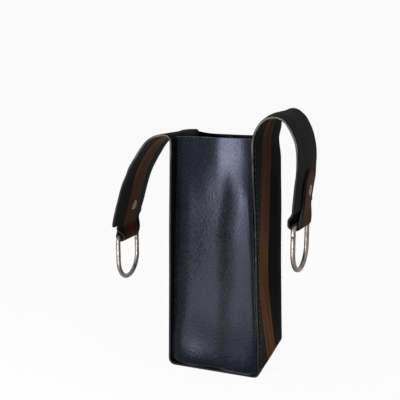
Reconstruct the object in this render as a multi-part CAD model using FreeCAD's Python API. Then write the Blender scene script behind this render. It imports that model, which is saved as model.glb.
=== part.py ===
import FreeCAD, Part
import math
import os

os.makedirs("parts", exist_ok=True)

# Bottle carrier: a tall leather bag whose sides run on into two straps with a carabiner on each.
# Lengths are in mm. +Z is up, the front faces -Y, and the origin is the middle of the base underside.

# The long strip: it makes the base, both sides and both straps
strip_width = 98.0
strip_thickness = 2.4
stripe_width = 33.0
stripe_thickness = 0.8

# The bag
bag_width = 100.0
bag_height = 241.5
base_bend = 7.0
root_drop = 5.0
seam_margin = 9.0
right_mouth_pull = 10.0
right_dish = 7.0
left_mouth_pull = 3.0
left_dish = 4.5
side_level_shares = (0.0, 0.18, 0.36, 0.65, 0.85, 1.0)
side_pull_shares = (0.0, 0.17, 0.35, 0.57, 0.86, 1.0)
side_dish_shares = (0.02, 0.67, 1.0, 0.67, 0.33, 0.02)

# Front and back panels, with their turned flanges
panel_thickness = 2.0
panel_setback = 1.5
panel_round = 1.4
panel_clearance = 0.1

# Seam thread
seam_inset = 4.5
stitch_pitch = 6.0
stitch_length = 3.6
stitch_width = 0.9
stitch_height = 0.5
stitch_seat = 0.05

# Straps, from the side's top to the shoulder, then the tongue that folds round the carabiner
strap_length = 140.0
shoulder_round = 6.0
tongue_width = 58.0
neck_length = 3.5
sway_radius = 9.0
layer_gap = 0.3
loop_clearance = 0.3
loop_slack = 0.6
tip_length = 56.0
tip_width = 42.0
hinge_gap = 0.5
bevel_spare = 3.0

# Rivets
rivet_post_diameter = 4.0
rivet_head_diameter = 11.0
rivet_head_height = 1.3
rivet_rim = 0.4
rivet_dimple_diameter = 4.4
rivet_dimple_depth = 0.8
rivet_socket_depth = 0.6

# Carabiners, measured between rod centres
rod = 5.0
ring_width = 46.0
ring_height = 49.0
ring_corner = 4.5
fold_side_gap = 0.5
hinge_stub = 1.2
gate_gap = 0.3
lug_thickness = 1.8
lug_diameter = 4.2
lug_clearance = 0.1
pin_diameter = 1.6
pin_clearance = 0.05
pin_inset = 0.3
nose_stub = 1.0
lap_gap = 0.2
lap_end_gap = 0.5
spring_bore = 3.0
spring_diameter = 2.6
spring_wire = 0.4
spring_turns = 5
spring_seat = 0.15
lap_share = 0.21
spring_share = 0.64

# Spare length for cuts, and the shortest stretch of strip that is kept
overrun = 2.0
least_run = 0.001

# The straps hang differently, so each side has its own bends. Both are written for the right hand
# side, heading up at the mouth and turning outwards, and the left one is mirrored.
SIDES = {
    "right": {
        "mouth_pull": right_mouth_pull,
        "dish": right_dish,
        "run_shares": (0.165, 0.214, 0.156, 0.237, 0.228),
        "turns": (-41.0, -105.0, -23.0, -15.0, 0.0),
        "hinge_shares": (0.0514, 0.265),
        "raise_angles": (45.0, 135.0),
        "ring_yaw": 6.0,
        "gate_at_front": True,
    },
    "left": {
        "mouth_pull": left_mouth_pull,
        "dish": left_dish,
        "run_shares": (0.079, 0.290, 0.287, 0.344),
        "turns": (-91.5, -50.0, -23.5, 0.0),
        "hinge_shares": (0.0424, 0.354),
        "raise_angles": (85.0, 75.0),
        "ring_yaw": 0.0,
        "gate_at_front": False,
    },
}

# Worked out from the sizes above
half_strip = strip_thickness / 2
panel_flange = seam_margin - panel_setback - panel_clearance
root_height = bag_height - root_drop
fold_radius = rod / 2 + loop_clearance + loop_slack + half_strip
layer_offset = strip_thickness + layer_gap
fold_width = ring_width - 2 * ring_corner - 2 * fold_side_gap
sway_offset = 2 * fold_radius - layer_offset
sway_turn = math.degrees(math.acos(1 - sway_offset / (2 * sway_radius)))
sway_run = sway_radius * math.radians(sway_turn)
bar_reach = neck_length + 2 * sway_radius * math.sin(math.radians(sway_turn))
rivet_reach = tip_length - bar_reach - tip_width / 2
leg_end = ring_height - ring_width / 2
hinge_drop = ring_corner + hinge_stub + rod / 2 + gate_gap
gate_length = leg_end - nose_stub - hinge_drop
lap_length = lap_share * gate_length
spring_room = gate_length - lug_diameter / 2 - gate_gap - lap_length - lap_end_gap
spring_pitch = spring_share * spring_room / spring_turns


# A station is a place on the strip's middle line, seen from the front: x, z and heading in degrees
def ahead(station, run, turn):
    x, z, heading = station
    if turn == 0:
        angle = math.radians(heading)
        return x + run * math.cos(angle), z + run * math.sin(angle), heading
    radius = run / math.radians(turn)
    before = math.radians(heading)
    after = math.radians(heading + turn)
    x_end = x + radius * (math.sin(after) - math.sin(before))
    z_end = z - radius * (math.cos(after) - math.cos(before))
    return x_end, z_end, heading + turn


# A point beside a station: offset to the left of the heading, and along the heading
def beside(station, offset, y, along=0):
    x, z, heading = station
    across = math.sin(math.radians(heading))
    forward = math.cos(math.radians(heading))
    return FreeCAD.Vector(x - offset * across + along * forward, y, z + offset * forward + along * across)


def edge_between(points):
    if len(points) == 2:
        return Part.makeLine(points[0], points[1])
    return Part.Arc(points[0], points[1], points[2]).toShape()


# A stretch of strip between two offsets from its middle line, as wide as asked, centred on y = 0
def ribbon(station, moves, low, high, width):
    y = -width / 2
    low_side = []
    high_side = []
    here = station
    for run, turn in moves:
        stops = [here, ahead(here, run, turn)]
        if turn:
            stops.insert(1, ahead(here, run / 2, turn / 2))
        low_side.append(edge_between([beside(s, low, y) for s in stops]))
        high_side.append(edge_between([beside(s, high, y) for s in reversed(stops)]))
        here = stops[-1]
    end_cap = Part.makeLine(beside(here, low, y), beside(here, high, y))
    start_cap = Part.makeLine(beside(station, high, y), beside(station, low, y))
    outline = Part.Wire(low_side + [end_cap] + high_side[::-1] + [start_cap])
    return Part.Face(outline).extrude(FreeCAD.Vector(0, width, 0))


# The part of a walk between two lengths along it: where it starts, and its moves
def stretch(station, moves, begin, finish):
    here = station
    start = None
    done = 0
    kept = []
    for run, turn in moves:
        low = max(begin, done)
        high = min(finish, done + run)
        if high - low > least_run:
            if start is None:
                start = ahead(here, low - done, turn * (low - done) / run)
            kept.append((high - low, turn * (high - low) / run))
        here = ahead(here, run, turn)
        done += run
    return start, kept


def walk_end(station, moves):
    for run, turn in moves:
        station = ahead(station, run, turn)
    return station


# The strip's outer face is on the right of the heading, and the stripe is let into it
def strip(station, moves, width=strip_width):
    return ribbon(station, moves, -half_strip, half_strip, width)


def stripe_tool(station, moves):
    return ribbon(station, moves, -half_strip - overrun, -half_strip + stripe_thickness, stripe_width)


def part_from_stripe(leather, tool):
    return leather.cut(tool), leather.common(tool)


# Where two stretches hinge, the first ends in a socket and the second in a round of its thickness
def hinge_cylinder(station, radius, width):
    return Part.makeCylinder(radius, width, beside(station, 0, -width / 2), FreeCAD.Vector(0, 1, 0))


def hinge_round(station):
    return hinge_cylinder(station, half_strip, strip_width)


def hinge_socket(station):
    return hinge_cylinder(station, half_strip + hinge_gap, strip_width + 2 * overrun)


# The upper edges at a hinge are bevelled, so that the strap can fold up by the raise angle
def fold_bevel(station, raise_angle, direction):
    height = half_strip + overrun
    reach = direction * height * math.tan(math.radians(raise_angle / 2 + bevel_spare))
    width = strip_width + 2 * overrun
    corners = [beside(station, 0, -width / 2), beside(station, height, -width / 2)]
    corners.append(beside(station, height, -width / 2, reach))
    corners.append(corners[0])
    return Part.Face(Part.makePolygon(corners)).extrude(FreeCAD.Vector(0, width, 0))


def root_station(side):
    return bag_width / 2 - half_strip - side["mouth_pull"], root_height, 90.0


def strap_moves(side):
    return [(share * strap_length, turn) for share, turn in zip(side["run_shares"], side["turns"])]


def hinge_places(side):
    return [share * strap_length for share in side["hinge_shares"]]


# The neck, the sway towards the bag and the fold round the carabiner's bar
def tongue_moves():
    return [(neck_length, 0), (sway_run, -sway_turn), (sway_run, sway_turn)]


def fold_moves():
    return [(math.pi * fold_radius, 180.0)]


# A flat piece laid on a station, between two offsets, from an outline of points along and across
def flat_piece(station, outline, low, high):
    edges = []
    for points in outline:
        edges.append(edge_between([beside(station, low, across, along) for along, across in points]))
    thickness = beside(station, high, 0) - beside(station, low, 0)
    return Part.Face(Part.Wire(edges)).extrude(thickness)


def shoulder_outline(length):
    half = strip_width / 2
    inner = half - shoulder_round
    bulge = shoulder_round * (1 - math.sqrt(0.5))
    return [
        [(-length, -half), (-shoulder_round, -half)],
        [(-shoulder_round, -half), (-bulge, bulge - half), (0, -inner)],
        [(0, -inner), (0, inner)],
        [(0, inner), (-bulge, half - bulge), (-shoulder_round, half)],
        [(-shoulder_round, half), (-length, half)],
        [(-length, half), (-length, -half)],
    ]


def tongue_outline():
    wide = tongue_width / 2
    slim = fold_width / 2
    return [
        [(-overrun, -wide), (neck_length, -wide)],
        [(neck_length, -wide), (bar_reach, -slim)],
        [(bar_reach, -slim), (bar_reach, slim)],
        [(bar_reach, slim), (neck_length, wide)],
        [(neck_length, wide), (-overrun, wide)],
        [(-overrun, wide), (-overrun, -wide)],
    ]


def tip_outline():
    slim = fold_width / 2
    wide = tip_width / 2
    return [
        [(bar_reach, -slim), (-rivet_reach, -wide)],
        [(-rivet_reach, -wide), (-rivet_reach - wide, 0), (-rivet_reach, wide)],
        [(-rivet_reach, wide), (bar_reach, slim)],
        [(bar_reach, slim), (bar_reach, -slim)],
    ]


def rivet_hole(shoulder):
    low = -half_strip - overrun
    start = beside(shoulder, low, 0, -rivet_reach)
    finish = beside(shoulder, layer_offset + half_strip + overrun, 0, -rivet_reach)
    way = finish - start
    return Part.makeCylinder(rivet_post_diameter / 2, way.Length, start, way)


# The carabiner's bar lies in the bottom of the loop, turned a little from the strap on one side
def bar_centre(shoulder):
    return beside(shoulder, layer_offset - fold_radius, 0, bar_reach + loop_slack)


def bar_way(side):
    yaw = math.radians(side["ring_yaw"])
    return FreeCAD.Vector(math.sin(yaw), math.cos(yaw), 0)


def bar_room(side, shoulder):
    way = bar_way(side)
    reach = fold_width / 2 + overrun
    start = bar_centre(shoulder) - way * reach
    return Part.makeCylinder(rod / 2 + loop_clearance, 2 * reach, start, way)


# The strap's end stretch: straight to the shoulder, then the tongue, its fold and its riveted tip
def strap_end(side):
    root = root_station(side)
    moves = strap_moves(side)
    hinge_at = hinge_places(side)[1]
    straight = moves[-1][0]
    start, curved = stretch(root, moves, hinge_at, strap_length - straight)
    shoulder = walk_end(root, moves)
    fold_start = walk_end(shoulder, tongue_moves())
    tongue = strip(shoulder, tongue_moves(), tongue_width)
    reach = sway_offset + strip_thickness + overrun
    tongue = tongue.common(flat_piece(shoulder, tongue_outline(), -reach, reach))
    leather = strip(start, curved).fuse([
        hinge_round(start),
        flat_piece(shoulder, shoulder_outline(straight), -half_strip, half_strip),
        tongue,
        strip(fold_start, fold_moves(), fold_width),
        flat_piece(shoulder, tip_outline(), layer_offset - half_strip, layer_offset + half_strip),
    ])
    for cut in (fold_bevel(start, side["raise_angles"][1], 1), rivet_hole(shoulder), bar_room(side, shoulder)):
        leather = leather.cut(cut)
    run_back = [(tip_length + overrun, 0)]
    tool = stripe_tool(start, curved + [(straight, 0)] + tongue_moves() + fold_moves() + run_back)
    return part_from_stripe(leather.removeSplitter(), tool)


def strap_lower(side):
    root = root_station(side)
    moves = strap_moves(side)
    begin, finish = hinge_places(side)
    start, kept = stretch(root, moves, begin, finish)
    end = walk_end(start, kept)
    root_raise, mid_raise = side["raise_angles"]
    leather = strip(start, kept).fuse(hinge_round(start))
    for cut in (hinge_socket(end), fold_bevel(start, root_raise, 1), fold_bevel(end, mid_raise, -1)):
        leather = leather.cut(cut)
    return part_from_stripe(leather.removeSplitter(), stripe_tool(start, kept))


# How far the dished middle of a side stands in from its edges, at a distance from the middle
def dish_depth(dish, y):
    half_span = strip_width / 2 - seam_margin
    radius = (half_span ** 2 + dish ** 2) / (2 * dish)
    return dish - radius + math.sqrt(radius ** 2 - y ** 2)


def level_height(share):
    return base_bend + share * (root_height - base_bend)


def side_section(side, level, pull, dish_share):
    z = level_height(level)
    outer = bag_width / 2 - pull * side["mouth_pull"]
    inner = outer - strip_thickness
    dish = dish_share * side["dish"]
    edge = strip_width / 2
    margin = edge - seam_margin

    def arch(x, y_from, y_to):
        return [FreeCAD.Vector(x, y_from, z), FreeCAD.Vector(x - dish, 0, z), FreeCAD.Vector(x, y_to, z)]

    def run(x, y_from, y_to):
        return [FreeCAD.Vector(x, y_from, z), FreeCAD.Vector(x, y_to, z)]

    def cap(y, x_from, x_to):
        return [FreeCAD.Vector(x_from, y, z), FreeCAD.Vector(x_to, y, z)]

    rows = [run(outer, -edge, -margin), arch(outer, -margin, margin), run(outer, margin, edge)]
    rows.append(cap(edge, outer, inner))
    rows += [run(inner, edge, margin), arch(inner, margin, -margin), run(inner, -margin, -edge)]
    rows.append(cap(-edge, inner, outer))
    return Part.Wire([edge_between(points) for points in rows])


def side_stripe_section(side, level, pull, dish_share):
    z = level_height(level)
    outer = bag_width / 2 - pull * side["mouth_pull"]
    dish = dish_share * side["dish"]
    half = stripe_width / 2
    deep_edge = outer - dish_depth(dish, half) - stripe_thickness
    deep_middle = outer - dish - stripe_thickness
    low = FreeCAD.Vector(deep_edge, -half, z)
    middle = FreeCAD.Vector(deep_middle, 0, z)
    high = FreeCAD.Vector(deep_edge, half, z)
    high_out = FreeCAD.Vector(outer + overrun, half, z)
    low_out = FreeCAD.Vector(outer + overrun, -half, z)
    rows = [[low, middle, high], [high, high_out], [high_out, low_out], [low_out, low]]
    return Part.Wire([edge_between(points) for points in rows])


def loft_side(side, section):
    levels = zip(side_level_shares, side_pull_shares, side_dish_shares)
    return Part.makeLoft([section(side, *level) for level in levels], True, True)


# A side of the bag: its dished panel and the stub that leads into the strap's first hinge
def gusset(side):
    root = root_station(side)
    start, kept = stretch(root, strap_moves(side), 0, hinge_places(side)[0])
    end = walk_end(start, kept)
    leather = loft_side(side, side_section).fuse(strip(start, kept))
    leather = leather.cut(hinge_socket(end)).cut(fold_bevel(end, side["raise_angles"][0], -1))
    tool = loft_side(side, side_stripe_section).fuse(stripe_tool(start, kept))
    return part_from_stripe(leather.removeSplitter(), tool)


def base():
    corner_run = math.pi / 2 * (base_bend - half_strip)
    flat_run = bag_width - 2 * base_bend
    start = (half_strip - bag_width / 2, base_bend, -90.0)
    moves = [(corner_run, 90.0), (flat_run, 0), (corner_run, 90.0)]
    return part_from_stripe(strip(start, moves), stripe_tool(start, moves))


# A panel's edge line inside the strip, drawn in by an inset, with its top at the height given
def panel_wire(inset, top, y):
    radius = base_bend - strip_thickness - inset
    bend_x = bag_width / 2 - base_bend
    low = strip_thickness + inset
    bulge = radius * math.sqrt(0.5)
    points = {}
    for name, mirror in (("right", 1), ("left", -1)):
        wall = bag_width / 2 - strip_thickness - inset
        pull = SIDES[name]["mouth_pull"]
        column = []
        for level, share in zip(side_level_shares, side_pull_shares):
            column.append(FreeCAD.Vector(mirror * (wall - share * pull), y, level_height(level)))
        column.append(FreeCAD.Vector(column[-1].x, y, top))
        points[name] = column
    right_foot = FreeCAD.Vector(bend_x, y, low)
    left_foot = FreeCAD.Vector(-bend_x, y, low)
    right_bend = FreeCAD.Vector(bend_x + bulge, y, base_bend - bulge)
    left_bend = FreeCAD.Vector(-bend_x - bulge, y, base_bend - bulge)
    edges = [edge_between([left_foot, right_foot])]
    edges.append(edge_between([right_foot, right_bend, points["right"][0]]))
    climb = points["right"] + points["left"][::-1]
    edges += [edge_between([a, b]) for a, b in zip(climb, climb[1:])]
    edges.append(edge_between([points["left"][0], left_bend, left_foot]))
    return Part.Wire(edges)


# A panel with its flange turned back along the sides and the base, and its outer corner rounded
def front_panel():
    y_face = panel_setback - strip_width / 2
    outline = panel_wire(panel_clearance, bag_height, y_face)
    body = Part.Face(outline).extrude(FreeCAD.Vector(0, panel_flange, 0))
    hollow = panel_wire(panel_clearance + panel_thickness, bag_height + overrun, y_face + panel_thickness)
    body = body.cut(Part.Face(hollow).extrude(FreeCAD.Vector(0, panel_flange, 0)))
    rim = []
    for edge in body.Edges:
        box = edge.BoundBox
        on_face = abs(box.YMin - y_face) < least_run and abs(box.YMax - y_face) < least_run
        if on_face and box.ZMin < bag_height - least_run:
            rim.append(edge)
    return body.makeFillet(panel_round, rim)


# One stitch on a side's margin, laid along the slope of the side there
def stitch(side, z, y):
    share = (z - base_bend) / (root_height - base_bend)
    levels = list(zip(side_level_shares, side_pull_shares))
    for low, high in zip(levels, levels[1:]):
        if low[0] <= share <= high[0]:
            break
    rise = (high[0] - low[0]) * (root_height - base_bend)
    lean = (high[1] - low[1]) * side["mouth_pull"]
    pull = low[1] + (high[1] - low[1]) * (share - low[0]) / (high[0] - low[0])
    face = bag_width / 2 - pull * side["mouth_pull"]
    corner = FreeCAD.Vector(stitch_seat, -stitch_width / 2, -stitch_length / 2)
    thread = Part.makeBox(stitch_height, stitch_width, stitch_length, corner)
    thread.rotate(FreeCAD.Vector(), FreeCAD.Vector(0, 1, 0), -math.degrees(math.atan2(lean, rise)))
    thread.translate(FreeCAD.Vector(face, y, z))
    return thread


def mirrored(shape, name):
    if name == "right":
        return shape
    return shape.mirror(FreeCAD.Vector(), FreeCAD.Vector(1, 0, 0))


# The stitches of a panel's two seams, as one group
def seam_thread(y):
    count = int((root_height - base_bend) / stitch_pitch) - 1
    stitches = []
    for name, side in SIDES.items():
        for number in range(count):
            z = base_bend + (number + 1) * stitch_pitch
            stitches.append(mirrored(stitch(side, z, y), name))
    return Part.makeCompound(stitches)


# A rivet's pieces are turned about an axis that leaves the leather at the side's shoulder station
def turned(profile, shoulder, offset, outwards):
    wire = Part.makePolygon([FreeCAD.Vector(r, 0, h) for r, h in profile + profile[:1]])
    solid = Part.Face(wire).revolve(FreeCAD.Vector(), FreeCAD.Vector(0, 0, 1), 360)
    seat = beside(shoulder, offset, 0, -rivet_reach)
    way = beside(shoulder, offset + outwards, 0, -rivet_reach) - seat
    solid.Placement = FreeCAD.Placement(seat, FreeCAD.Rotation(FreeCAD.Vector(0, 0, 1), way))
    return solid


def rivet_head_rim():
    radius = rivet_head_diameter / 2
    dimple = rivet_dimple_diameter / 2
    floor = rivet_head_height - rivet_dimple_depth
    return [
        (radius, 0),
        (radius, rivet_head_height - 2 * rivet_rim),
        (radius - rivet_rim, rivet_head_height - rivet_rim),
        (radius - 3 * rivet_rim, rivet_head_height),
        (dimple + rivet_rim, rivet_head_height),
        (dimple, floor),
        (0, floor),
    ]


def rivet_post(shoulder):
    shank = rivet_post_diameter / 2
    depth = layer_offset + strip_thickness + rivet_socket_depth
    profile = [(0, -depth), (shank, -depth), (shank, 0)] + rivet_head_rim()
    return turned(profile, shoulder, layer_offset + half_strip, 1)


def rivet_cap(shoulder):
    shank = rivet_post_diameter / 2
    web = rivet_head_rim()
    profile = [(0, rivet_socket_depth), (shank, rivet_socket_depth), (shank, 0)] + web[:-2]
    dimple = rivet_dimple_diameter / 2
    crown = rivet_head_height - rivet_rim
    profile += [(dimple, crown), (0, crown)]
    return turned(profile, shoulder, -half_strip, -1)


# Carabiner pieces are made with the bar's middle at the origin, hanging down, its gate at the front
def rod_run(y_from, z_from, y_to, z_to):
    start = FreeCAD.Vector(0, y_from, z_from)
    way = FreeCAD.Vector(0, y_to, z_to) - start
    return Part.makeCylinder(rod / 2, way.Length, start, way)


def rod_bend(y_centre, z_centre, y_start, z_start, angle):
    centre = FreeCAD.Vector(0, y_centre, z_centre)
    start = FreeCAD.Vector(0, y_start, z_start)
    tangent = FreeCAD.Vector(1, 0, 0).cross(start - centre)
    disc = Part.Face(Part.Wire(Part.makeCircle(rod / 2, start, tangent)))
    return disc.revolve(centre, FreeCAD.Vector(1, 0, 0), angle)


def cross_cylinder(diameter, length, z):
    start = FreeCAD.Vector(-length / 2, -ring_width / 2, z)
    return Part.makeCylinder(diameter / 2, length, start, FreeCAD.Vector(1, 0, 0))


def gate_box(x_size, y_low, y_high, z_low, z_high):
    corner = FreeCAD.Vector(-x_size / 2, y_low - ring_width / 2, z_low)
    return Part.makeBox(x_size, y_high - y_low, z_high - z_low, corner)


def lap_low():
    return nose_stub - leg_end


def lap_high():
    return lap_low() + lap_length


def carabiner_body():
    half = ring_width / 2
    straight = half - ring_corner
    stub_end = ring_corner + hinge_stub
    pieces = [
        rod_run(-straight, 0, straight, 0),
        rod_bend(straight, -ring_corner, straight, 0, -90),
        rod_bend(-straight, -ring_corner, -straight, 0, 90),
        rod_run(half, -ring_corner, half, -leg_end),
        rod_bend(0, -leg_end, half, -leg_end, -180),
        rod_run(-half, -ring_corner, -half, -stub_end),
        rod_run(-half, -leg_end, -half, lap_low()),
    ]
    nose = rod_run(-half, lap_low(), -half, lap_high())
    pieces.append(nose.common(gate_box(rod, -rod, -lap_gap / 2, lap_low(), lap_high())))
    lug = gate_box(lug_thickness, -lug_diameter / 2, lug_diameter / 2, -hinge_drop, -stub_end)
    pieces.append(lug.fuse(cross_cylinder(lug_diameter, lug_thickness, -hinge_drop)))
    body = pieces[0].fuse(pieces[1:])
    return body.cut(cross_cylinder(pin_diameter, rod, -hinge_drop)).removeSplitter()


def slot_floor():
    return -hinge_drop - lug_diameter / 2 - gate_gap


def carabiner_gate():
    half = ring_width / 2
    shaft_end = lap_high() + lap_end_gap
    knuckle = rod_run(-half, -hinge_drop, -half, rod / 2 - hinge_drop)
    knuckle = knuckle.common(cross_cylinder(rod, rod, -hinge_drop))
    gate = knuckle.fuse(rod_run(-half, shaft_end, -half, -hinge_drop))
    lap = rod_run(-half, lap_low() + lap_gap, -half, shaft_end)
    gate = gate.fuse(lap.common(gate_box(rod, lap_gap / 2, rod, lap_low(), shaft_end)))
    gate = gate.cut(gate_box(lug_thickness + 2 * lug_clearance, -rod, rod, slot_floor(), rod - hinge_drop))
    gate = gate.cut(cross_cylinder(pin_diameter + 2 * pin_clearance, 2 * rod, -hinge_drop))
    depth = spring_turns * spring_pitch + spring_wire + 2 * spring_seat
    mouth = FreeCAD.Vector(0, -half, slot_floor())
    bore = Part.makeCylinder(spring_bore / 2, depth, mouth, FreeCAD.Vector(0, 0, -1))
    return gate.cut(bore).removeSplitter()


def gate_pin():
    return cross_cylinder(pin_diameter, rod - 2 * pin_inset, -hinge_drop)


# The coil is a chain of tilted half turns that meet in line
def gate_spring():
    radius = (spring_diameter - spring_wire) / 2
    rise = spring_pitch / 2
    half_turns = []
    for number in range(2 * spring_turns):
        way = 1 if number % 2 == 0 else -1
        start = FreeCAD.Vector(way * radius, 0, number * rise)
        middle = FreeCAD.Vector(0, 0, number * rise + rise / 2)
        tangent = FreeCAD.Vector(0, way, 0)
        disc = Part.Face(Part.Wire(Part.makeCircle(spring_wire / 2, start, tangent)))
        half_turns.append(disc.revolve(middle, (start - middle).cross(tangent), 180))
    coil = half_turns[0].fuse(half_turns[1:])
    drop = spring_turns * spring_pitch + spring_wire / 2 + spring_seat
    coil.translate(FreeCAD.Vector(0, -ring_width / 2, slot_floor() - drop))
    return coil


def hung(shape, side, shoulder):
    piece = shape.copy()
    if not side["gate_at_front"]:
        piece.rotate(FreeCAD.Vector(), FreeCAD.Vector(0, 0, 1), 180)
    piece.rotate(FreeCAD.Vector(), FreeCAD.Vector(0, 0, 1), -side["ring_yaw"])
    piece.translate(bar_centre(shoulder))
    return piece


def save(name, shape):
    shape.exportStep("parts/" + name + ".step")


def tell(name, label, point):
    x = point.x if name == "right" else -point.x
    print(label, name, "x %.3f y %.3f z %.3f" % (x, point.y, point.z))


def build_side(name, side):
    root = root_station(side)
    moves = strap_moves(side)
    shoulder = walk_end(root, moves)
    pairs = {"gusset": gusset(side), "strap_lower": strap_lower(side), "strap_end": strap_end(side)}
    for label, (leather, stripe) in pairs.items():
        save(name + "_" + label, mirrored(leather, name))
        save(name + "_" + label + "_stripe", mirrored(stripe, name))
    save(name + "_rivet_post", mirrored(rivet_post(shoulder), name))
    save(name + "_rivet_cap", mirrored(rivet_cap(shoulder), name))
    makers = {"body": carabiner_body, "gate": carabiner_gate, "gate_pin": gate_pin, "gate_spring": gate_spring}
    for label, make in makers.items():
        save(name + "_carabiner_" + label, mirrored(hung(make(), side, shoulder), name))
    for label, place in zip(("root hinge", "strap hinge"), hinge_places(side)):
        tell(name, label, beside(walk_end(*stretch(root, moves, 0, place)), 0, 0))
    tell(name, "carabiner bar", bar_centre(shoulder))
    gate_side = -1 if side["gate_at_front"] else 1
    gate_place = bar_way(side) * (gate_side * ring_width / 2) - FreeCAD.Vector(0, 0, hinge_drop)
    tell(name, "gate pin", bar_centre(shoulder) + gate_place)
    tell(name, "bar way", bar_way(side))
    tell(name, "shoulder", beside(shoulder, 0, 0))


leather_base, base_stripe = base()
save("base", leather_base)
save("base_stripe", base_stripe)
front = front_panel()
save("front_panel", front)
save("back_panel", front.mirror(FreeCAD.Vector(), FreeCAD.Vector(0, 1, 0)))
seam_y = strip_width / 2 - seam_inset
save("front_seam_thread", seam_thread(-seam_y))
save("back_seam_thread", seam_thread(seam_y))
for side_name, side_values in SIDES.items():
    build_side(side_name, side_values)
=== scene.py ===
import bpy
import bmesh
import math
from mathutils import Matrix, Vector, noise


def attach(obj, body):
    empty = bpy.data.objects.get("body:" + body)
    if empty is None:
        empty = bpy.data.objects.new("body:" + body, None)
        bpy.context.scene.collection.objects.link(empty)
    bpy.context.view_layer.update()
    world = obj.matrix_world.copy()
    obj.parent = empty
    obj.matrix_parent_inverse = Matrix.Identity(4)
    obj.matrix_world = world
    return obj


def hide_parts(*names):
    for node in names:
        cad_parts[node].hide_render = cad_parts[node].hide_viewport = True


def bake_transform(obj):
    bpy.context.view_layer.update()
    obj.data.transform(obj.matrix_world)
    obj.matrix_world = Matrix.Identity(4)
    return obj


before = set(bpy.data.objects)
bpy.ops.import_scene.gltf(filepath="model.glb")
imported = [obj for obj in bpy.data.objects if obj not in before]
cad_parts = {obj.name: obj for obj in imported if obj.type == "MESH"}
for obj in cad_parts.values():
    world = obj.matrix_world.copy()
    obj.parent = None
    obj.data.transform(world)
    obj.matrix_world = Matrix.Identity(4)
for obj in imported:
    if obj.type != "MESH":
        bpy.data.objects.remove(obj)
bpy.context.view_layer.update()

mm = 0.001
print("frame loaded:", len(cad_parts), "nodes")


# one sRGB hex value to linear RGBA
def hexColour(text):
    parts = [int(text[i:i + 2], 16) / 255 for i in (1, 3, 5)]
    return [c / 12.92 if c <= 0.04045 else ((c + 0.055) / 1.055) ** 2.4 for c in parts] + [1.0]


# one node with its settings, its input values or links, and the two stops of a colour ramp
def addNode(tree, kind, inputs=None, stops=(), **settings):
    node = tree.nodes.new(kind)
    for name, value in settings.items():
        setattr(node, name, value)
    for name, value in (inputs or {}).items():
        if isinstance(value, bpy.types.NodeSocket):
            tree.links.new(value, node.inputs[name])
        else:
            node.inputs[name].default_value = value
    for i, (place, shade) in enumerate(stops):
        node.color_ramp.elements[i].position = place
        node.color_ramp.elements[i].color = hexColour(shade)
    return node


def newMaterial(name):
    material = bpy.data.materials.new(name)
    material.use_nodes = True
    material.node_tree.nodes.clear()
    return material, material.node_tree


# Cowhide embossed with fine diagonal facets and finished with pigment: a soft blue-black sheen in specks.
# Sizes are in mm. "worn" is the height over which the emboss and its specks fade towards the mouth.
panelGrain = {
    "facet": (2.6, 1.3, 1.3), "slant": -42, "depth": 0.2, "emboss": (0.6, 0.2), "worn": (150.0, 225.0),
    "mottle": 38.0, "facetTone": 0.35, "matt": 0.36, "gloss": 0.245, "shine": 0.115, "tint": "#ced2f4",
    "colours": ((0.4, "#030406"), (0.95, "#0b0c11")),
}


def embossedLeather(name, look):
    material, tree = newMaterial(name)
    place = addNode(tree, "ShaderNodeTexCoord").outputs["Object"]
    # facets drawn about twice as coarse as the real emboss, so that they show at this image size
    turned = addNode(tree, "ShaderNodeMapping", {
        "Vector": place, "Rotation": (0, math.radians(look["slant"]), 0),
        "Scale": [side * mm for side in look["facet"]]}, vector_type="TEXTURE")
    facets = addNode(tree, "ShaderNodeTexVoronoi", {"Vector": turned.outputs["Vector"], "Scale": 1.0})
    grain = addNode(tree, "ShaderNodeSeparateColor", {"Color": facets.outputs["Color"]}).outputs["Red"]
    mottle = addNode(tree, "ShaderNodeTexNoise", {
        "Vector": place, "Scale": 1 / (look["mottle"] * mm), "Detail": 3.0})
    height = addNode(tree, "ShaderNodeSeparateXYZ", {"Vector": place}).outputs["Z"]
    emboss = addNode(tree, "ShaderNodeMapRange", {
        "Value": height, "From Min": look["worn"][0] * mm, "From Max": look["worn"][1] * mm,
        "To Min": look["emboss"][0], "To Max": look["emboss"][1]}, interpolation_type="SMOOTHSTEP")
    bump = addNode(tree, "ShaderNodeBump", {
        "Height": facets.outputs["Distance"], "Strength": emboss.outputs["Result"],
        "Distance": look["depth"] * mm})
    tone = addNode(tree, "ShaderNodeMath", {
        0: grain, 1: look["facetTone"], 2: mottle.outputs["Fac"]}, operation="MULTIPLY_ADD")
    colour = addNode(tree, "ShaderNodeValToRGB", {"Fac": tone.outputs[0]}, look["colours"])
    speck = addNode(tree, "ShaderNodeMath", {0: grain, 1: emboss.outputs["Result"]}, operation="MULTIPLY")
    gloss = addNode(tree, "ShaderNodeMapRange", {
        "Value": speck.outputs[0], "From Max": look["emboss"][0],
        "To Min": look["gloss"], "To Max": look["matt"]})
    shader = addNode(tree, "ShaderNodeBsdfPrincipled", {
        "Base Color": colour.outputs["Color"], "Roughness": gloss.outputs["Result"],
        "Normal": bump.outputs["Normal"], "Specular IOR Level": look["shine"],
        "Specular Tint": hexColour(look["tint"])})
    addNode(tree, "ShaderNodeOutputMaterial", {"Surface": shader.outputs["BSDF"]})
    return material


# Vegetable-tanned strap leather, dyed and rolled smooth: matt, with faint streaks along its length
strapLook = {
    "streak": 9.0, "stretch": 0.12, "fibre": 0.9, "bump": 0.12, "depth": 0.3, "paintedShade": 0.0,
    "paintedShadeTo": 40.0, "matt": 0.8, "gloss": 0.64, "shine": 0.02,
    "colours": ((0.25, "#070706"), (0.75, "#10100f")),
}
# The stripe is the same leather dyed brown, with painted shade that darkens it up along the straps
stripeLook = dict(strapLook, streak=12.0, paintedShade=0.24, shine=0.04,
                  colours=((0.25, "#331c0e"), (0.75, "#70431f")))


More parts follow.
